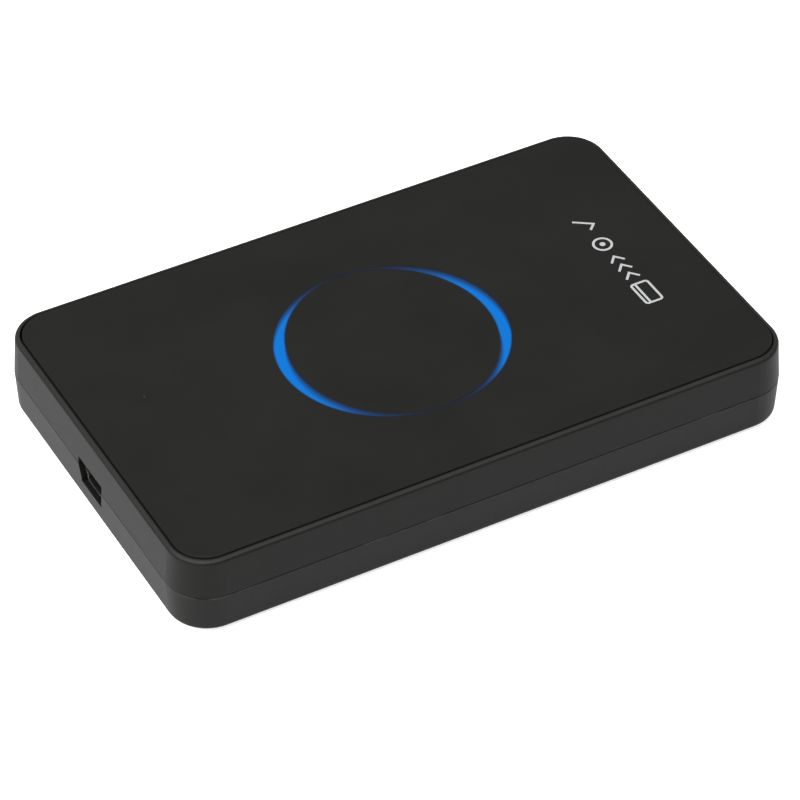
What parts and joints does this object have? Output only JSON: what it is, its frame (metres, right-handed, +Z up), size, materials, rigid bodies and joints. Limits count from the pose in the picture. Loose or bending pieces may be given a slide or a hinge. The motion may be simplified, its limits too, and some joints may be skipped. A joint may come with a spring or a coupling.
{
  "type": "rfid card reader",
  "caption": "Flat desktop RFID card reader: two-shell black case, flush panel with a glowing blue ring to lay a card on, mini-B USB socket in one end, rubber feet.",
  "frame": {"origin": "under the middle of the case, on the surface the rubber feet stand on", "axes": "+Y towards the end wall with the USB socket, +X to the right seen from the far end, +Z up out of the face panel"},
  "size_m": [0.0678, 0.1102, 0.0149],
  "materials": {
    "case_plastic": "fine satin texture",
    "panel_black": "smooth satin black",
    "ring_light": "translucent, lit blue",
    "panel_ink": "screen-printed silver grey",
    "tape": "black foam tape",
    "diffuser": "milky translucent",
    "socket_metal": "tin plated",
    "socket_plastic": "moulded black",
    "contact_metal": "gold flash",
    "board": "green solder mask",
    "copper_wire": "enamelled copper",
    "chip_black": "moulded epoxy",
    "can_metal": "drawn can",
    "buzzer_black": "moulded black",
    "ceramic": "fired ceramic",
    "resistor_black": "glazed black",
    "screw_steel": "zinc plated",
    "label": "blank silver film",
    "led": "white body, blue die",
    "foot_rubber": "matt rubber"
  },
  "bodies": {
    "root": {"lower_shell": "case_plastic", "upper_shell": "case_plastic", "light_baffle": "case_plastic", "face_panel": "panel_black", "centre_disc": "panel_black", "light_window": "ring_light", "card_symbol": "panel_ink", "panel_adhesive": "tape", "light_guide": "diffuser", "usb_shell": "socket_metal", "usb_insulator": "socket_plastic", "usb_contacts": "contact_metal", "main_board": "board", "antenna_coil": "copper_wire", "coil_leads": "copper_wire", "mcu_chip": "chip_black", "reader_chip": "chip_black", "crystal": "can_metal", "regulator": "chip_black", "bulk_capacitor": "can_metal", "buzzer": "buzzer_black", "ceramic_capacitors": "ceramic", "resistors": "resistor_black", "case_screws": "screw_steel", "board_screws": "screw_steel", "rating_label": "label", "led_1": "led", "led_2": "led", "led_3": "led", "led_4": "led", "led_5": "led", "led_6": "led", "foot_front_left": "foot_rubber", "foot_front_right": "foot_rubber", "foot_rear_left": "foot_rubber", "foot_rear_right": "foot_rubber"}
  },
  "joints": []
}
